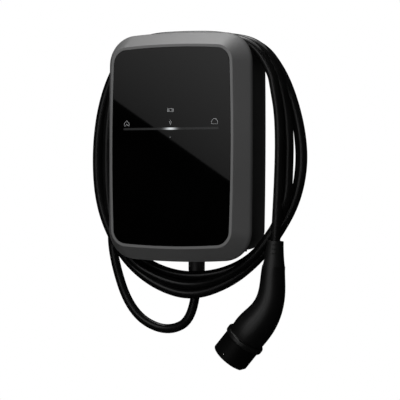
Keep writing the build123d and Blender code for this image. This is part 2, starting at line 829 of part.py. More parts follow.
def bend_radii(points):
    # Largest even bend at each inner point: 0.45 of the shorter run over tan of half the turn
    radii = []
    for before, here, after in zip(points, points[1:], points[2:]):
        run_in = Vector(*here) - Vector(*before)
        run_out = Vector(*after) - Vector(*here)
        half_turn = radians(run_in.get_angle(run_out)) / 2
        radii.append(0.45 * min(run_in.length, run_out.length) / tan(half_turn))
    return radii


# Lead from the gland: down behind the coil, round a U and up on the left
lead_points = [
    (cable_x, -cable_y, cable_exit_z),
    (cable_x, -cable_y, -1.14 * coil_bottom),
    (-0.3 * coil_left, -cable_y, -1.26 * coil_bottom),
    (-0.67 * coil_left, -cable_y, -1.125 * coil_bottom),
    (-0.865 * coil_left, -cable_y, -0.73 * coil_bottom),
    (-0.865 * coil_left, -cable_y, coil_step_z),
]
lead_radii = bend_radii(lead_points)
print("lead radii", [round(r, 1) for r in lead_radii])
with BuildPart() as cable_lead:
    with BuildLine() as lead_path:
        FilletPolyline(*lead_points, radius=lead_radii)
    with BuildSketch(Plane(origin=lead_points[0], z_dir=(0, 0, -1))):
        Circle(cable_d / 2)
    sweep()
print("lead length", round(lead_path.wire().length, 1), "volume", round(cable_lead.part.volume, 1))
finish(cable_lead, "cable_lead")

# Tail: out of the coil at the upper right, down to the plug
tail_x = plug_top_x - tail_offset
tail_side = tail_run * sin(radians(plug_lean))
tail_rise = tail_run * cos(radians(plug_lean))
tail_points = [
    (tail_x, -plug_y, tail_start_z),
    (tail_x, -plug_y, tail_bend_z),
    (plug_top_x + tail_side, -plug_y, plug_top_z + tail_rise),
    (plug_top_x, -plug_y, plug_top_z),
]
tail_radii = bend_radii(tail_points)
print("tail radii", [round(r, 1) for r in tail_radii])
with BuildPart() as cable_tail:
    with BuildLine() as tail_path:
        FilletPolyline(*tail_points, radius=tail_radii)
    with BuildSketch(Plane(origin=tail_points[0], z_dir=(0, 0, -1))):
        Circle(cable_d / 2)
    sweep()
print("tail length", round(tail_path.wire().length, 1), "volume", round(cable_tail.part.volume, 1))
finish(cable_tail, "cable_tail")


def ring(right, left, top, bottom, places):
    # Places round the coil, given as parts of its reach to the right, left, top and bottom
    return [(x * (right if x > 0 else left), z * (top if z > 0 else bottom)) for x, z in places]


# Coil: the outer shape of the wound turns, hung over the top of the housing
coil_outside = ring(coil_right, coil_left, coil_top, coil_bottom, [
    (0, 1), (0.42, 0.99), (0.64, 0.89), (0.79, 0.715), (0.915, 0.445), (0.985, 0.155), (1, -0.11),
    (0.94, -0.35), (0.82, -0.56), (0.63, -0.765), (0.37, -0.915), (0.03, -1), (-0.3, -0.955),
    (-0.58, -0.82), (-0.81, -0.63), (-0.95, -0.4), (-1, -0.1), (-0.965, 0.29), (-0.85, 0.63),
    (-0.66, 0.87), (-0.4, 0.985)])
coil_inside = ring(loop_right, loop_left, loop_top, loop_bottom, [
    (0, 1), (-0.53, 0.965), (-0.84, 0.785), (-0.975, 0.395), (-1, -0.09), (-0.945, -0.45),
    (-0.76, -0.79), (-0.42, -0.95), (0.01, -1), (0.37, -0.945), (0.63, -0.83), (0.84, -0.585),
    (0.95, -0.315), (1, 0)])
coil_shoulder = ring(loop_right, loop_left, loop_top, loop_bottom, [(0.78, 0.765), (0.525, 0.93), (0, 1)])
tail_room = (0.85 * loop_right, tail_start_z)
with BuildPart() as cable_coil:
    with BuildSketch(Plane.XZ.offset(coil_back)):
        with BuildLine():
            Spline(*coil_outside, periodic=True)
        make_face()
        with BuildLine():
            Spline(*coil_inside)
            Polyline((loop_right, 0), (loop_right, tail_start_z), tail_room)
            Spline(tail_room, *coil_shoulder)
        make_face(mode=Mode.SUBTRACT)
    extrude(amount=coil_front - coil_back)
    # Side shape: deep over the housing, thin where the turns hang in front of the lead
    above = 2 * coil_top
    below = -2 * coil_bottom
    with BuildSketch(Plane.YZ):
        with BuildLine():
            Polyline((-coil_front, above), (-coil_front, tail_start_z), (-coil_mid, tail_start_z),
                     (-coil_low_front, coil_step_z + coil_taper), (-coil_low_front, below),
                     (-coil_low_back, below), (-coil_low_back, coil_step_z), (-coil_back, coil_step_z),
                     (-coil_back, above), close=True)
        make_face()
    extrude(amount=2 * coil_right, both=True, mode=Mode.INTERSECT)
    # Room for the housing and its rear edge
    with BuildSketch(Plane.XZ) as drum_room:
        frame_outline(drum_room, housing_inset - coil_clearance)
    extrude(amount=box_depth, mode=Mode.SUBTRACT)
finish(cable_coil, "cable_coil")


def station(s):
    # Plane across the plug at a distance along its centre line from the boot's top
    lean = radians(plug_lean)
    turn = radians(plug_bend)
    bend_length = plug_bend_r * turn
    x = plug_top_x - min(s, plug_straight) * sin(lean)
    z = plug_top_z - min(s, plug_straight) * cos(lean)
    heading = lean
    if s > plug_straight:
        heading = lean + min(s - plug_straight, bend_length) / plug_bend_r
        x -= plug_bend_r * (cos(lean) - cos(heading))
        z -= plug_bend_r * (sin(heading) - sin(lean))
    rest = max(0.0, s - plug_straight - bend_length)
    x -= rest * sin(heading)
    z -= rest * cos(heading)
    return Plane(origin=(x, -plug_y, z), x_dir=(0, 1, 0), z_dir=(-sin(heading), 0, -cos(heading)))


# Ribbed strain relief, the plug's uppermost piece
with BuildPart() as plug_boot:
    with BuildSketch(station(0)):
        Circle(boot_top_d / 2)
    with BuildSketch(station(boot_length / 2)):
        Circle(boot_mid_d / 2)
    with BuildSketch(station(boot_length)):
        Circle(boot_end_d / 2)
    loft()
    # Three short slots on the front and three on the back
    for slot in range(3):
        with BuildSketch(station(boot_slot_first + slot * boot_slot_pitch)):
            Rectangle(2 * boot_mid_d, boot_slot_width, rotation=boot_slot_turn)
            Circle(boot_top_d / 2 - boot_slot_depth, mode=Mode.SUBTRACT)
        extrude(amount=boot_slot_height, mode=Mode.SUBTRACT)
    with BuildSketch(station(boot_socket)):
        Circle(cable_d / 2)
    extrude(amount=boot_length, mode=Mode.SUBTRACT)
finish(plug_boot, "plug_boot")

# Hollow grip, from the boot round the bend to the collar
grip_stops = (boot_length, 0.38 * grip_end, 0.54 * grip_end, 0.68 * grip_end, 0.81 * grip_end, grip_end)
grip_sizes = (boot_end_d + grip_step, grip_d1, grip_d2, grip_d3, grip_d4, grip_end_d)
with BuildPart() as plug_grip:
    for stop, size in zip(grip_stops, grip_sizes):
        with BuildSketch(station(stop)):
            Circle(size / 2)
    loft()
    for stop, size in zip(grip_stops, grip_sizes):
        with BuildSketch(station(stop)):
            Circle(size / 2 - grip_wall)
    loft(mode=Mode.SUBTRACT)
finish(plug_grip, "plug_grip")

# Collar that stops the plug against the car's socket
with BuildPart() as plug_collar:
    with BuildSketch(station(grip_end)):
        Circle(collar_d / 2)
    extrude(amount=collar_length)
    fillet(plug_collar.edges(), radius=collar_round)
finish(plug_collar, "plug_collar")

# Nose shell with one flat side, open at its tip
nose_start = grip_end + collar_length
with BuildPart() as plug_nose:
    with BuildSketch(station(nose_start)):
        Circle(nose_r)
        with Locations((0, nose_flat + nose_r / 2)):
            Rectangle(2 * nose_r, nose_r, mode=Mode.SUBTRACT)
    extrude(amount=nose_length)
    with BuildSketch(station(nose_start)):
        Circle(nose_r - nose_wall)
        with Locations((0, nose_flat - nose_wall + nose_r / 2)):
            Rectangle(2 * nose_r, nose_r, mode=Mode.SUBTRACT)
    extrude(amount=nose_length, mode=Mode.SUBTRACT)
finish(plug_nose, "plug_nose")


def power_places():
    # Earth in the middle, neutral and one phase beside it, two phases below
    return [(0, 0), (-contact_pitch, 0), (contact_pitch, 0),
            (-contact_low_x, -contact_low_z), (contact_low_x, -contact_low_z)]


def signal_places():
    # The two small contacts beside the flat
    return [(-signal_x, signal_z), (signal_x, signal_z)]


# Block that holds the contacts inside the nose
with BuildPart() as contact_carrier:
    with BuildSketch(station(nose_start)):
        Circle(nose_r - nose_wall - carrier_clearance)
        with Locations((0, nose_flat - nose_wall - carrier_clearance + nose_r / 2)):
            Rectangle(2 * nose_r, nose_r, mode=Mode.SUBTRACT)
    extrude(amount=nose_length - carrier_setback)
    with BuildSketch(station(nose_start)):
        with Locations(*power_places()):
            Circle(contact_r)
        with Locations(*signal_places()):
            Circle(signal_r)
    extrude(amount=nose_length, mode=Mode.SUBTRACT)
finish(contact_carrier, "contact_carrier")

# Seven hollow contacts
with BuildPart() as power_contacts:
    with BuildSketch(station(nose_start)):
        with Locations(*power_places()):
            Circle(contact_r)
    extrude(amount=nose_length - carrier_setback - contact_back)
    with BuildSketch(station(nose_start + contact_back)):
        with Locations(*power_places()):
            Circle(contact_bore_r)
    extrude(amount=nose_length, mode=Mode.SUBTRACT)
finish(power_contacts, "power_contacts")

with BuildPart() as signal_contacts:
    with BuildSketch(station(nose_start)):
        with Locations(*signal_places()):
            Circle(signal_r)
    extrude(amount=nose_length - carrier_setback - contact_back - signal_short)
    with BuildSketch(station(nose_start + contact_back)):
        with Locations(*signal_places()):
            Circle(signal_bore_r)
    extrude(amount=nose_length, mode=Mode.SUBTRACT)
finish(signal_contacts, "signal_contacts")
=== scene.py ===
import bpy
import bmesh
import math
from mathutils import Matrix, Vector


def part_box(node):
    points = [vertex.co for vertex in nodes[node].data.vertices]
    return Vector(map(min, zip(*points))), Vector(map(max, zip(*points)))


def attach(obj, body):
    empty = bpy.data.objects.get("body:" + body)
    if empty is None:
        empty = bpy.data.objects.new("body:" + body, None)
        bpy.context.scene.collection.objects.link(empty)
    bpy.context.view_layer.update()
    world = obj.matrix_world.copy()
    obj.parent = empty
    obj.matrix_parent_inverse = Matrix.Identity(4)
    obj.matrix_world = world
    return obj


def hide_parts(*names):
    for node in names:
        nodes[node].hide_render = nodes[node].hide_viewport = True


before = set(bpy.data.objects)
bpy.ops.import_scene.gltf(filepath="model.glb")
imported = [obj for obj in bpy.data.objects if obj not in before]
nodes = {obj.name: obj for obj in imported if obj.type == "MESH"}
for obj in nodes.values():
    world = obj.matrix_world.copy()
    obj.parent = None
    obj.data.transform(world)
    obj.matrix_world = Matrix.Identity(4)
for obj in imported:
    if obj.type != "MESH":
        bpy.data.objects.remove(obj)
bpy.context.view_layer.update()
scene = bpy.context.scene
scene.view_settings.view_transform = "Standard"
print("frame loaded:", len(nodes), "nodes")


def linkNew(name, data):
    piece = bpy.data.objects.new(name, data)
    scene.collection.objects.link(piece)
    return piece


# camera: level, turned 25 degrees to the right of the box, long lens
cameraSet = {
    "turn": 24.99,            # degrees to the right of straight on
    "rise": 0.5,              # degrees above level
    "roll": 0.0037,           # radians
    "distance": 2.9709,
    "target": (0.02495, -0.069, -0.09456),
    "lens": 148.57,           # on the sensor below, for a square image
    "sensor": 36.0,
    "reach": 50.0,
}


def makeCamera(spec):
    turn, rise, roll = math.radians(spec["turn"]), math.radians(spec["rise"]), spec["roll"]
    back = Vector((math.sin(turn) * math.cos(rise), -math.cos(turn) * math.cos(rise), math.sin(rise)))
    level = Vector((0, 0, 1)).cross(back).normalized()
    upright = back.cross(level)
    right = level * math.cos(roll) + upright * math.sin(roll)
    up = upright * math.cos(roll) - level * math.sin(roll)
    place = Vector(spec["target"]) + back * spec["distance"]
    data = bpy.data.cameras.new("photoCamera")
    data.lens = spec["lens"]
    data.sensor_width = spec["sensor"]
    data.sensor_fit = "HORIZONTAL"
    data.clip_end = spec["reach"]
    view = linkNew("photoCamera", data)
    view.matrix_world = Matrix((
        (right.x, up.x, back.x, place.x),
        (right.y, up.y, back.y, place.y),
        (right.z, up.z, back.z, place.z),
        (0, 0, 0, 1)))
    scene.camera = view
    return view


camera = makeCamera(cameraSet)
print("camera placed")


# small helpers for shader trees
def newMaterial(name):
    material = bpy.data.materials.new(name)
    material.use_nodes = True
    return material, material.node_tree, material.node_tree.nodes["Principled BSDF"]


def addNode(tree, kind, **inputs):
    node = tree.nodes.new(kind)
    for key, value in inputs.items():
        node.inputs[key].default_value = value
    return node


def wire(tree, source, target):
    tree.links.new(source, target)


def objectCoords(tree):
    return tree.nodes.new("ShaderNodeTexCoord").outputs["Object"]


def noise(tree, coords, scale, detail):
    node = addNode(tree, "ShaderNodeTexNoise", Scale=scale, Detail=detail)
    wire(tree, coords, node.inputs["Vector"])
    return node.outputs["Fac"]


def mathNode(tree, operation, *values):
    # a value is a number or the output of another node
    node = tree.nodes.new("ShaderNodeMath")
    node.operation = operation
    for socket, value in zip(node.inputs, values):
        if isinstance(value, bpy.types.NodeSocket):
            wire(tree, value, socket)
        else:
            socket.default_value = value
    return node.outputs[0]


def mapBetween(tree, source, low, high, sourceHigh=1.0):
    node = tree.nodes.new("ShaderNodeMapRange")
    node.inputs["From Max"].default_value = sourceHigh
    node.inputs["To Min"].default_value = low
    node.inputs["To Max"].default_value = high
    wire(tree, source, node.inputs["Value"])
    return node.outputs["Result"]


def grey(level, tint=(1.0, 1.0, 1.0)):
    return (level * tint[0], level * tint[1], level * tint[2], 1.0)


def greyBetween(tree, source, low, high, tint=(1.0, 1.0, 1.0)):
    # patches of two greys, where the noise is mostly between 0.3 and 0.7
    ramp = tree.nodes.new("ShaderNodeValToRGB")
    ramp.color_ramp.elements[0].position = 0.3
    ramp.color_ramp.elements[1].position = 0.7
    ramp.color_ramp.elements[0].color = grey(low, tint)
    ramp.color_ramp.elements[1].color = grey(high, tint)
    wire(tree, source, ramp.inputs["Fac"])
    return ramp.outputs["Color"]


# moulded or painted surface: patchy colour, fine grain, roughness that wanders a little
def surfaceMaterial(name, spec):
    material, tree, shader = newMaterial(name)
    coords = objectCoords(tree)
    patches = noise(tree, coords, spec["patchScale"], detail=4.0)
    tint = spec.get("tint", (1.0, 1.0, 1.0))
    wire(tree, greyBetween(tree, patches, *spec["colour"], tint), shader.inputs["Base Color"])
    wire(tree, mapBetween(tree, patches, *spec["rough"]), shader.inputs["Roughness"])
    bump = addNode(tree, "ShaderNodeBump", Strength=spec["grainStrength"], Distance=spec["grainDepth"])
    wire(tree, noise(tree, coords, spec["grainScale"], detail=2.0), bump.inputs["Height"])
    wire(tree, bump.outputs["Normal"], shader.inputs["Normal"])
    shader.inputs["Metallic"].default_value = spec.get("metal", 0.0)
    shader.inputs["Specular IOR Level"].default_value = spec.get("specular", 0.5)
    shader.inputs["Coat Weight"].default_value = spec.get("coat", 0.0)
    shader.inputs["Coat Roughness"].default_value = spec.get("coatRough", 0.1)
    return material


finishes = {
    "framePaint": {"colour": (0.150, 0.165), "rough": (0.42, 0.48), "metal": 0.1,
                   "patchScale": 9.0, "grainScale": 2600.0, "grainStrength": 0.12, "grainDepth": 0.0002,
                   "specular": 0.4, "coat": 0.04, "coatRough": 0.3},
    "housingBlack": {"colour": (0.044, 0.052), "rough": (0.48, 0.56), "patchScale": 14.0,
                     "grainScale": 1400.0, "grainStrength": 0.25, "grainDepth": 0.0003, "specular": 0.35},
    "cableSheath": {"colour": (0.003, 0.005), "rough": (0.19, 0.25), "patchScale": 30.0,
                    "grainScale": 900.0, "grainStrength": 0.08, "grainDepth": 0.0003, "specular": 0.5},
    "plugBody": {"colour": (0.003, 0.005), "rough": (0.36, 0.42), "patchScale": 22.0,
                 "grainScale": 1600.0, "grainStrength": 0.2, "grainDepth": 0.0003, "specular": 0.5},
    "bootRubber": {"colour": (0.003, 0.005), "rough": (0.46, 0.54), "patchScale": 30.0,
                   "grainScale": 1300.0, "grainStrength": 0.2, "grainDepth": 0.0003, "specular": 0.5},
    "plugNose": {"colour": (0.002, 0.004), "rough": (0.36, 0.42), "patchScale": 22.0,
                 "grainScale": 1800.0, "grainStrength": 0.15, "grainDepth": 0.0002, "specular": 0.1},
    "plugCollar": {"colour": (0.004, 0.006), "rough": (0.28, 0.34), "patchScale": 22.0,
                   "grainScale": 1800.0, "grainStrength": 0.1, "grainDepth": 0.0002, "specular": 1.0},
    "softRubber": {"colour": (0.012, 0.016), "rough": (0.54, 0.62), "patchScale": 40.0,
                   "grainScale": 1100.0, "grainStrength": 0.2, "grainDepth": 0.0003, "specular": 0.3},
    "coverGrey": {"colour": (0.14, 0.16), "rough": (0.5, 0.56), "patchScale": 12.0,
                  "grainScale": 1500.0, "grainStrength": 0.2, "grainDepth": 0.0003},
    "zincSteel": {"colour": (0.44, 0.52), "rough": (0.40, 0.52), "metal": 0.5, "patchScale": 90.0,
                  "grainScale": 700.0, "grainStrength": 0.06, "grainDepth": 0.0002},
    "boardMask": {"colour": (0.10, 0.13), "tint": (0.35, 1.0, 0.55), "rough": (0.30, 0.38),
                  "patchScale": 20.0, "grainScale": 500.0, "grainStrength": 0.08, "grainDepth": 0.0002},
    "blockGrey": {"colour": (0.38, 0.43), "rough": (0.45, 0.52), "patchScale": 30.0,
                  "grainScale": 1500.0, "grainStrength": 0.15, "grainDepth": 0.0002},
    "blockBlack": {"colour": (0.03, 0.04), "rough": (0.38, 0.46), "patchScale": 30.0,
                   "grainScale": 1500.0, "grainStrength": 0.15, "grainDepth": 0.0002},
    "tinShield": {"colour": (0.60, 0.68), "rough": (0.28, 0.36), "metal": 1.0, "patchScale": 60.0,
                  "grainScale": 900.0, "grainStrength": 0.05, "grainDepth": 0.0002},
    "copperLoop": {"colour": (0.62, 0.70), "tint": (1.0, 0.62, 0.42), "rough": (0.26, 0.36), "metal": 1.0,
                   "patchScale": 70.0, "grainScale": 900.0, "grainStrength": 0.05, "grainDepth": 0.0002},
    "clearLight": {"colour": (0.72, 0.78), "rough": (0.12, 0.18), "patchScale": 40.0,
                   "grainScale": 700.0, "grainStrength": 0.04, "grainDepth": 0.0002},
    "contactSilver": {"colour": (0.66, 0.74), "tint": (1.0, 0.98, 0.93), "rough": (0.2, 0.3), "metal": 1.0,
                      "patchScale": 120.0, "grainScale": 900.0, "grainStrength": 0.05,
                      "grainDepth": 0.0002},
}
materials = {name: surfaceMaterial(name, spec) for name, spec in finishes.items()}

# dark glass with faint smudges
glassSet = {"colour": (0.0002, 0.0005), "rough": (0.015, 0.035), "smudgeScale": 16.0}


def glassMaterial(spec):
    material, tree, shader = newMaterial("panelGlass")
    smudge = noise(tree, objectCoords(tree), spec["smudgeScale"], detail=5.0)
    wire(tree, greyBetween(tree, smudge, *spec["colour"]), shader.inputs["Base Color"])
    wire(tree, mapBetween(tree, smudge, *spec["rough"]), shader.inputs["Roughness"])
    return material


materials["panelGlass"] = glassMaterial(glassSet)

nodeFinish = {
    "front_frame": "framePaint", "front_glass": "panelGlass", "rear_housing": "housingBlack",
    "bottom_plate": "housingBlack", "wall_bracket": "zincSteel", "bracket_screws": "zincSteel",
    "supply_grommet": "softRubber", "cover_gasket": "softRubber", "inner_cover": "coverGrey",
    "cover_screws": "zincSteel", "frame_screws": "zincSteel", "power_board": "boardMask",
    "board_screws": "zincSteel", "supply_terminals": "blockGrey", "output_terminals": "blockGrey",
    "relays": "blockBlack", "fault_sensor": "blockBlack", "energy_meter": "blockGrey",
    "supply_module": "blockBlack", "capacitors": "blockBlack", "display_board": "boardMask",
    "display_screws": "zincSteel", "radio_module": "tinShield", "card_antenna": "copperLoop",
    "status_lights": "clearLight", "light_guide": "clearLight", "gland_body": "housingBlack",
    "gland_locknut": "housingBlack", "gland_seal": "softRubber", "gland_nut": "housingBlack",
    "cable_inner_end": "cableSheath", "cable_lead": "cableSheath", "cable_coil": "cableSheath",
    "cable_tail": "cableSheath", "plug_boot": "bootRubber", "plug_grip": "plugBody",
    "plug_collar": "plugCollar", "plug_nose": "plugNose", "contact_carrier": "plugNose",
    "power_contacts": "contactSilver", "signal_contacts": "contactSilver",
}
for name, finish in nodeFinish.items():
    mesh = nodes[name].data
    mesh.materials.clear()
    mesh.materials.append(materials[finish])
print("finishes given to", len(nodeFinish), "nodes")

# the charging cable: lead from the gland, turns over the housing, tail into the plug
cableSet = {
    "diameter": 0.017,
    "length": 5.4,
    "lead": [(0.0015, -0.032, -0.226), (0.0015, -0.032, -0.309), (-0.060, -0.032, -0.341),
             (-0.134, -0.032, -0.305), (-0.173, -0.032, -0.198), (-0.173, -0.032, -0.125)],
    "leadTop": -0.03,         # the first turn starts above this height
    "tail": [(0.176, -0.086, 0.105), (0.186, -0.086, 0.050), (0.186, -0.086, -0.050),
             (0.179, -0.086, -0.165)],
    "tailTop": 0.12,          # the last turn ends above this height
    # the outermost strand of a turn seen from the front: x, z, and how far the strands fan out there
    "left": [(-0.163, -0.158, 0.6), (-0.187, -0.098, 1.0), (-0.194, -0.022, 1.1), (-0.187, 0.055, 1.0),
             (-0.167, 0.121, 0.8)],
    "top": [(-0.132, 0.172, 0.4), (-0.076, 0.199, 0.0), (0.0, 0.201, 0.0), (0.075, 0.198, 0.0)],
    "right": [(0.139, 0.182, 0.0), (0.175, 0.136, 0.18), (0.197, 0.084, 0.64), (0.212, 0.022, 1.1),
              (0.215, -0.036, 1.3), (0.202, -0.098, 0.72)],
    "bottom": [(0.172, -0.154, 0.5), (0.130, -0.204, 0.39), (0.076, -0.245, 0.69), (0.005, -0.270, 1.1),
               (-0.065, -0.254, 0.9), (-0.126, -0.214, 0.55)],
    # for each turn and side: inward shift where bunched and where fanned out, then the depth at both
    "turns": [
        {"left": (0.013, 0.013, -0.026, -0.026), "top": (0.0, 0.0, -0.026, -0.026),
         "right": (0.008, 0.0104, -0.031, -0.031), "bottom": (0.0, 0.032, -0.035, -0.054)},
        {"left": (0.0, 0.005, -0.046, -0.046), "top": (0.0, 0.0, -0.046, -0.046),
         "right": (0.001, -0.001, -0.050, -0.050), "bottom": (0.0, 0.0, -0.052, -0.057)},
        {"left": (0.0, 0.0035, -0.063, -0.063), "top": (0.0, 0.0, -0.065, -0.065),
         "right": (-0.0025, 0.0140, -0.068, -0.068), "bottom": (0.0, 0.016, -0.068, -0.058)},
        {"left": (0.0, 0.030, -0.076, -0.076), "top": (0.0, 0.0, -0.084, -0.084),
         "right": (0.001, 0.030, -0.086, -0.086)},
    ],
    "centre": (0.008, -0.025),
}


def cableControlPoints(spec):
    points = [Vector(p) for p in spec["lead"]]
    centre = Vector(spec["centre"])
    lastTurn = len(spec["turns"]) - 1
    for count, turn in enumerate(spec["turns"]):
        for side, (inBunched, inFanned, deepBunched, deepFanned) in turn.items():
            for x, z, fan in spec[side]:
                if count == 0 and side == "left" and z < spec["leadTop"]:
                    continue                      # the lead already climbs here
                if count == lastTurn and side == "right" and z < spec["tailTop"]:
                    continue                      # the tail takes over here
                flat = Vector((x, z))
                flat += (centre - flat).normalized() * (inBunched + (inFanned - inBunched) * fan)
                depth = deepBunched + (deepFanned - deepBunched) * min(fan, 1.0)
                points.append(Vector((flat.x, depth, flat.y)))
    return points + [Vector(p) for p in spec["tail"]]


def makeCable(spec):
    curve = bpy.data.curves.new("chargingCable", "CURVE")
    curve.dimensions = "3D"
    spline = curve.splines.new("NURBS")
    points = cableControlPoints(spec)
    spline.points.add(len(points) - 1)
    for point, place in zip(spline.points, points):
        point.co = (*place, 1.0)
    spline.order_u = 3
    spline.use_endpoint_u = True
    spline.resolution_u = 10
    curve.bevel_depth = spec["diameter"] / 2
    curve.bevel_resolution = 8
    curve.use_fill_caps = True
    curve.materials.append(materials["cableSheath"])
    print("cable laid with", len(points), "control points")
    return linkNew("chargingCable", curve)


cable = makeCable(cableSet)
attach(cable, "root")
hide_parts("cable_lead", "cable_coil", "cable_tail")

# light bar in the glass, with its bright middle
lightBarSet = {"length": 0.1873, "height": 0.0038, "z": 0.0318, "front": -0.14012, "back": -0.1399,
               "endSteps": 12, "glowHalf": 0.0116, "glowFall": 1.6, "glowPower": 0.70, "unlit": 0.007,
               "glowColour": (0.93, 0.97, 1.0, 1.0), "base": 0.010, "rough": 0.2}


def lightBarMaterial(spec):
    material, tree, shader = newMaterial("lightBar")
    split = tree.nodes.new("ShaderNodeSeparateXYZ")
    wire(tree, objectCoords(tree), split.inputs["Vector"])
    across = mathNode(tree, "DIVIDE", split.outputs["X"], spec["glowHalf"])
    square = mathNode(tree, "MULTIPLY", across, across)
    glow = mathNode(tree, "EXPONENT", mathNode(tree, "MULTIPLY", square, -spec["glowFall"]))
    wire(tree, mathNode(tree, "MULTIPLY_ADD", glow, spec["glowPower"], spec["unlit"]),
         shader.inputs["Emission Strength"])
    shader.inputs["Base Color"].default_value = grey(spec["base"])
    shader.inputs["Roughness"].default_value = spec["rough"]
    shader.inputs["Emission Color"].default_value = spec["glowColour"]
    return material


def slotOutline(spec):
    # long slot with round ends, in x and z
    radius, steps = spec["height"] / 2, spec["endSteps"]
    half = spec["length"] / 2 - radius
    turns = [math.pi * k / steps for k in range(steps + 1)]
    right = [(half + radius * math.sin(t), spec["z"] - radius * math.cos(t)) for t in turns]
    left = [(-half - radius * math.sin(t), spec["z"] + radius * math.cos(t)) for t in turns]
    return right + left


def makeLightBar(spec):
    outline = slotOutline(spec)
    shape = bmesh.new()
    near = [shape.verts.new((x, spec["front"], z)) for x, z in outline]
    far = [shape.verts.new((x, spec["back"], z)) for x, z in outline]
    shape.faces.new(near)
    shape.faces.new(list(reversed(far)))
    for i in range(len(outline)):
        j = (i + 1) % len(outline)
        shape.faces.new((near[i], far[i], far[j], near[j]))
    bmesh.ops.recalc_face_normals(shape, faces=shape.faces)
    mesh = bpy.data.meshes.new("lightBar")
    shape.to_mesh(mesh)
    shape.free()
    mesh.materials.append(lightBarMaterial(spec))
    return linkNew("lightBar", mesh)


lightBar = makeLightBar(lightBarSet)
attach(lightBar, "root")
print("light bar made")


# helpers for geometry trees
def geometryTree(name, sizes, finish):
    # empty tree whose inputs are the named sizes and one material
    tree = bpy.data.node_groups.new(name, "GeometryNodeTree")
    tree.interface.new_socket("Geometry", in_out="INPUT", socket_type="NodeSocketGeometry")
    for label in sizes:
        tree.interface.new_socket(label, in_out="INPUT", socket_type="NodeSocketFloat")
    tree.interface.new_socket(finish, in_out="INPUT", socket_type="NodeSocketMaterial")
    tree.interface.new_socket("Geometry", in_out="OUTPUT", socket_type="NodeSocketGeometry")
    return tree, tree.nodes.new("NodeGroupInput").outputs


def finishTree(tree, geometry, material):
    real = tree.nodes.new("GeometryNodeRealizeInstances")
    painted = tree.nodes.new("GeometryNodeSetMaterial")
    wire(tree, geometry, real.inputs["Geometry"])
    wire(tree, real.outputs["Geometry"], painted.inputs["Geometry"])
    wire(tree, material, painted.inputs["Material"])
    wire(tree, painted.outputs["Geometry"], tree.nodes.new("NodeGroupOutput").inputs["Geometry"])
    return tree


def grown(holder, tree, inputs, name, shift=(0, 0, 0)):
    # runs the tree on the holder and keeps its result as a plain mesh
    modifier = holder.modifiers.new("grow", "NODES")
    modifier.node_group = tree
    sockets = {item.name: item.identifier for item in tree.interface.items_tree if item.in_out == "INPUT"}
    for label, value in inputs.items():
        modifier[sockets[label]] = value
    bpy.context.view_layer.update()
    mesh = bpy.data.meshes.new_from_object(holder.evaluated_get(bpy.context.evaluated_depsgraph_get()))
    mesh.transform(Matrix.Translation(shift))
    mesh.name = name
    bpy.data.objects.remove(holder)
    return linkNew(name, mesh)


# small generic signs printed on the glass, as lines in millimetres round their middle; their ink also glows
# a little, which is painted brightness
signSet = {
    "line": 0.00030,
    "flatness": 0.25,
    "front": -0.14002,
    "rimPoints": 8,
    # the ink's glow is painted light: it brightens the printed signs in place of light falling on them
    "ink": {"colour": (0.42, 0.5), "speckleScale": 900.0, "rough": 0.5, "glow": (0.9, 0.94, 1.0, 1.0),
            "glowPower": 0.13},
    "signs": {
        "homeSign": {"at": (-0.087, 0.0419), "lines": [
            [(-4.9, -4.4), (-4.9, 0.1), (0, 4.8), (4.9, 0.1), (4.9, -4.4), (2.9, -4.4), (0.0, -1.2),
             (-2.9, -4.4), (-4.9, -4.4)]]},
        "garageSign": {"at": (0.0854, 0.0438), "lines": [
            [(-5.7, -4.6), (-5.7, 0.8), (-3.0, 3.8), (0, 5.0), (3.0, 3.8), (5.7, 0.8), (5.7, -4.6),
             (-5.7, -4.6)]]},
        "cardSign": {"at": (-0.0001, 0.0647), "lines": [
            [(-2.6, -2.6), (2.6, -2.6), (2.6, 2.6), (-2.6, 2.6), (-2.6, -2.6)],
            [(-3.9, -2.6), (-4.7, 0), (-3.9, 2.6)], [(-5.2, -3.2), (-6.2, 0), (-5.2, 3.2)],
            [(3.9, -2.6), (4.7, 0), (3.9, 2.6)], [(5.2, -3.2), (6.2, 0), (5.2, 3.2)]]},
        "stateSign": {"at": (-0.0002, 0.0428), "lines": [
            [(0, 4.6), (-1.7, 0.4), (0, -4.6), (1.7, 0.4), (0, 4.6)]]},
        "downSign": {"at": (-0.0009, 0.0172), "line": 0.00014, "lines": [
            [(-1.5, 1.2), (0, -2.4), (1.5, 1.2)]]},
    },
}


def signMaterial(spec):
    material, tree, shader = newMaterial("inkWithPaintedGlow")
    speckle = noise(tree, objectCoords(tree), spec["speckleScale"], detail=2.0)
    wire(tree, greyBetween(tree, speckle, *spec["colour"]), shader.inputs["Base Color"])
    shader.inputs["Roughness"].default_value = spec["rough"]
    # painted light: the printed ink glows faintly so that it reads brighter
    shader.inputs["Emission Color"].default_value = spec["glow"]
    shader.inputs["Emission Strength"].default_value = spec["glowPower"]
    return material


# tree that lays a flat round-edged stroke along each line of a sign
def strokeTree(rimPoints):
    tree, given = geometryTree("signStroke", ("Line Radius", "Flatness"), "Ink")
    rim = addNode(tree, "GeometryNodeCurvePrimitiveCircle", Resolution=rimPoints)
    wire(tree, given["Line Radius"], rim.inputs["Radius"])
    stroke = tree.nodes.new("GeometryNodeCurveToMesh")
    stroke.inputs["Fill Caps"].default_value = True
    wire(tree, given["Geometry"], stroke.inputs["Curve"])
    wire(tree, rim.outputs["Curve"], stroke.inputs["Profile Curve"])
    scale = addNode(tree, "ShaderNodeCombineXYZ", X=1.0, Z=1.0)
    wire(tree, given["Flatness"], scale.inputs["Y"])
    flat = tree.nodes.new("GeometryNodeTransform")
    wire(tree, stroke.outputs["Mesh"], flat.inputs["Geometry"])
    wire(tree, scale.outputs["Vector"], flat.inputs["Scale"])
    return finishTree(tree, flat.outputs["Geometry"], given["Ink"])


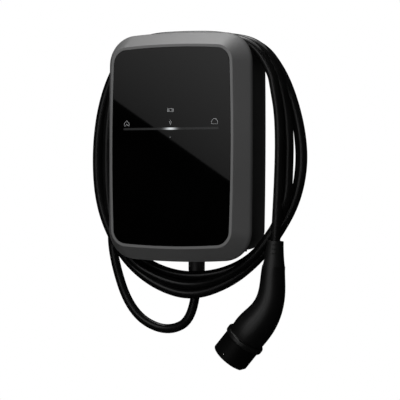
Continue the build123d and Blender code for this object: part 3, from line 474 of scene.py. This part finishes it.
def makeSign(name, spec, tree, ink):
    curve = bpy.data.curves.new(name + "Lines", "CURVE")
    curve.dimensions = "3D"
    for path in spec["lines"]:
        closed = path[0] == path[-1]
        points = path[:-1] if closed else path
        spline = curve.splines.new("POLY")
        spline.points.add(len(points) - 1)
        for point, (x, z) in zip(spline.points, points):
            point.co = (x / 1000, 0, z / 1000, 1.0)
        spline.use_cyclic_u = closed
    inputs = {"Line Radius": spec.get("line", signSet["line"]), "Flatness": signSet["flatness"], "Ink": ink}
    shift = (spec["at"][0], signSet["front"], spec["at"][1])
    return grown(linkNew(name + "Lines", curve), tree, inputs, name, shift)


inkWithPaintedGlow = signMaterial(signSet["ink"])
signTree = strokeTree(signSet["rimPoints"])
for name, spec in signSet["signs"].items():
    sign = makeSign(name, spec, signTree, inkWithPaintedGlow)
    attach(sign, "root")
print("signs printed:", len(signSet["signs"]))

# hexagon sockets in the heads of the screws behind the flange
socketSet = {"headRadius": 0.0035, "sideZ": 0.100, "endX": 0.060, "cornerRadius": 0.0017, "height": 0.0002}


def socketTree():
    tree, given = geometryTree("screwSocket", ("Corner Radius", "Height"), "Finish")
    hexagon = addNode(tree, "GeometryNodeMeshCylinder", Vertices=6)
    wire(tree, given["Corner Radius"], hexagon.inputs["Radius"])
    wire(tree, given["Height"], hexagon.inputs["Depth"])
    placed = addNode(tree, "GeometryNodeInstanceOnPoints", Rotation=(math.pi / 2, 0, 0))
    wire(tree, given["Geometry"], placed.inputs["Points"])
    wire(tree, hexagon.outputs["Mesh"], placed.inputs["Instance"])
    return finishTree(tree, placed.outputs["Instances"], given["Finish"])


def makeSockets(spec):
    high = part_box("frame_screws")[1]
    sideX, endZ = high.x - spec["headRadius"], high.z - spec["headRadius"]
    places = [(x, high.y, z) for x in (-sideX, sideX) for z in (-spec["sideZ"], spec["sideZ"])]
    places += [(x, high.y, z) for x in (-spec["endX"], spec["endX"]) for z in (-endZ, endZ)]
    mesh = bpy.data.meshes.new("socketPlaces")
    mesh.from_pydata(places, [], [])
    inputs = {"Corner Radius": spec["cornerRadius"], "Height": spec["height"],
              "Finish": materials["blockBlack"]}
    return grown(linkNew("socketPlaces", mesh), socketTree(), inputs, "screwSockets")


sockets = makeSockets(socketSet)
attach(sockets, "root")
print("screw sockets set")

# small bright pin on the plug's nose
pinSet = {"at": (0.0953, -0.1198, -0.3649), "radius": 0.0015, "segments": 24, "rings": 12}


def makePin(spec):
    shape = bmesh.new()
    bmesh.ops.create_uvsphere(shape, u_segments=spec["segments"], v_segments=spec["rings"],
                              radius=spec["radius"], matrix=Matrix.Translation(spec["at"]))
    mesh = bpy.data.meshes.new("latchPin")
    shape.to_mesh(mesh)
    shape.free()
    mesh.materials.append(materials["contactSilver"])
    mesh.shade_smooth()
    return linkNew("latchPin", mesh)


pin = makePin(pinSet)
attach(pin, "root")
print("latch pin set")

# studio: white behind the object, soft light from above, in front and behind, dark flags round it,
# strips for the highlights along the black pieces, and one card seen in the glass
studioSet = {
    "ambient": 0.05,
    "lamps": {
        "topLamp": {"place": (-0.4, 0.05, 1.75), "aim": (0, -0.1, 0), "size": (1.3, 1.1), "power": 16.2},
        "frontLamp": {"place": (-0.42, -2.35, 2.1), "aim": (0, -0.1, 0), "size": (0.9, 0.9), "power": 37.0,
                      "glossy": False},
        "fillLamp": {"place": (0.8, -2.7, 1.45), "aim": (0, -0.1, 0), "size": (1.2, 1.2), "power": 25.0,
                     "glossy": False},
        "backLamp": {"place": (-0.45, 2.6, 1.0), "aim": (0, -0.1, 0), "size": (1.1, 1.1), "power": 45.0,
                     "glossy": False},
        "stripLamp": {"place": (-0.45, -2.6, 0.075), "aim": (0, -0.1, 0.075), "size": (0.34, 0.75),
                      "power": 5.75, "diffuse": False, "shadow": False},     # reaches the rear strands
        "lowStrip": {"place": (0.3, -2.6, -0.53), "aim": (0.1, -0.1, -0.53), "size": (0.34, 0.5),
                     "power": 3.8, "diffuse": False},
        "highStrip": {"place": (-0.05, -2.6, 1.0), "aim": (0, -0.1, 0.5), "size": (0.34, 1.1),
                      "power": 8.0, "diffuse": False},
    },
    "floor": {"z": -2.0, "half": 1.9, "colour": (0.86, 0.90), "speckleScale": 60.0, "rough": 0.8,
              "lift": 0.86},
    "flags": {"radius": 1.9, "low": -1.98, "high": 3.4, "sides": 24, "level": 0.006},
    "card": {"edgeLeft": (-0.1114, 0.0848), "edgeRight": (0.1131, -0.0592), "plane": -1.6, "reach": 0.35,
             "height": 1.2, "fadeOver": 0.36, "dim": 0.30, "bright": 0.72},
}
white = (1, 1, 1, 1)


def makeWorld(ambient):
    scene.world = bpy.data.worlds.new("studioWorld")
    scene.world.use_nodes = True
    tree = scene.world.node_tree
    tree.nodes.clear()
    rays = tree.nodes.new("ShaderNodeLightPath").outputs
    seen = rays["Is Camera Ray"]
    for kind in ("Is Glossy Ray", "Is Transmission Ray"):
        seen = mathNode(tree, "MAXIMUM", seen, rays[kind])
    mix = tree.nodes.new("ShaderNodeMixShader")
    wire(tree, seen, mix.inputs["Fac"])
    for socket, strength in zip(mix.inputs[1:], (ambient, 1.0)):
        wire(tree, addNode(tree, "ShaderNodeBackground", Color=white, Strength=strength).outputs[0], socket)
    wire(tree, mix.outputs[0], tree.nodes.new("ShaderNodeOutputWorld").inputs["Surface"])


def makeLamp(name, spec):
    data = bpy.data.lights.new(name, "AREA")
    data.shape = "RECTANGLE"
    data.size, data.size_y = spec["size"]
    data.energy = spec["power"]
    data.use_shadow = spec.get("shadow", True)
    lamp = linkNew(name, data)
    lamp.location = spec["place"]
    lamp.rotation_euler = (Vector(spec["aim"]) - Vector(spec["place"])).to_track_quat("-Z", "Y").to_euler()
    lamp.visible_glossy = spec.get("glossy", True)       # without it, soft light with no highlight
    lamp.visible_diffuse = spec.get("diffuse", True)     # without it, a highlight and no light


def makeFloor(spec):
    material, tree, shader = newMaterial("paleFloor")
    speckle = noise(tree, objectCoords(tree), spec["speckleScale"], detail=3.0)
    wire(tree, greyBetween(tree, speckle, *spec["colour"]), shader.inputs["Base Color"])
    shader.inputs["Roughness"].default_value = spec["rough"]
    toCamera = tree.nodes.new("ShaderNodeLightPath").outputs["Is Camera Ray"]
    shader.inputs["Emission Color"].default_value = white
    wire(tree, mathNode(tree, "MULTIPLY", toCamera, spec["lift"]),
         shader.inputs["Emission Strength"])             # the camera sees it as pale as the background
    half, z = spec["half"], spec["z"]
    corners = [(-half, -half, z), (half, -half, z), (half, half, z), (-half, half, z)]
    mesh = bpy.data.meshes.new("studioFloor")
    mesh.from_pydata(corners, [], [(0, 1, 2, 3)])
    mesh.materials.append(material)
    linkNew("studioFloor", mesh)


def glowMaterial(name):
    material = bpy.data.materials.new(name)
    material.use_nodes = True
    tree = material.node_tree
    tree.nodes.clear()
    light = addNode(tree, "ShaderNodeEmission", Color=white)
    wire(tree, light.outputs[0], tree.nodes.new("ShaderNodeOutputMaterial").inputs["Surface"])
    return material, light.inputs["Strength"]


def reflectionOnly(obj):
    obj.visible_camera = False
    obj.visible_diffuse = False
    obj.visible_transmission = False
    obj.visible_shadow = False


def makeFlags(spec):
    # ring of dark cards, so that the black pieces show a dark room and not the white background
    material, strength = glowMaterial("darkFlags")
    strength.default_value = spec["level"]
    turns = [2 * math.pi * k / spec["sides"] for k in range(spec["sides"])]
    verts = [(spec["radius"] * math.cos(t), spec["radius"] * math.sin(t), z)
             for t in turns for z in (spec["low"], spec["high"])]
    count = len(verts)
    faces = [(2 * k, (2 * k + 2) % count, (2 * k + 3) % count, 2 * k + 1) for k in range(spec["sides"])]
    faces.append(tuple(range(0, count, 2)))
    mesh = bpy.data.meshes.new("darkFlags")
    mesh.from_pydata(verts, [], faces)
    mesh.materials.append(material)
    reflectionOnly(linkNew("darkFlags", mesh))


def makeCard(spec, eye):
    # the card's lower edge is put where its mirror image crosses the glass from left to right
    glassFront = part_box("front_glass")[0][1]
    mirrored = Vector((eye.x, 2 * glassFront - eye.y, eye.z))

    def onCard(x, z):
        through = Vector((x, glassFront, z)) - mirrored
        return mirrored + through * ((spec["plane"] - mirrored.y) / through.y)

    left, right = onCard(*spec["edgeLeft"]), onCard(*spec["edgeRight"])
    along = (right - left).normalized() * spec["reach"]
    left, right = left - along, right + along
    rise = Vector((0, 0, spec["height"]))
    material, strength = glowMaterial("softCard")
    tree = material.node_tree
    split = tree.nodes.new("ShaderNodeSeparateXYZ")
    wire(tree, tree.nodes.new("ShaderNodeUVMap").outputs["UV"], split.inputs["Vector"])
    wire(tree, mapBetween(tree, split.outputs["Y"], spec["dim"], spec["bright"],
                          spec["fadeOver"] / spec["height"]), strength)
    mesh = bpy.data.meshes.new("softCard")
    mesh.from_pydata([left, right, right + rise, left + rise], [], [(0, 1, 2, 3)])
    uvLayer = mesh.uv_layers.new(name="UVMap")
    for corner, uv in zip(uvLayer.data, ((0, 0), (1, 0), (1, 1), (0, 1))):
        corner.uv = uv
    mesh.materials.append(material)
    reflectionOnly(linkNew("softCard", mesh))


makeWorld(studioSet["ambient"])
for name, spec in studioSet["lamps"].items():
    makeLamp(name, spec)
makeFloor(studioSet["floor"])
makeFlags(studioSet["flags"])
makeCard(studioSet["card"], camera.matrix_world.translation)
print("studio set")
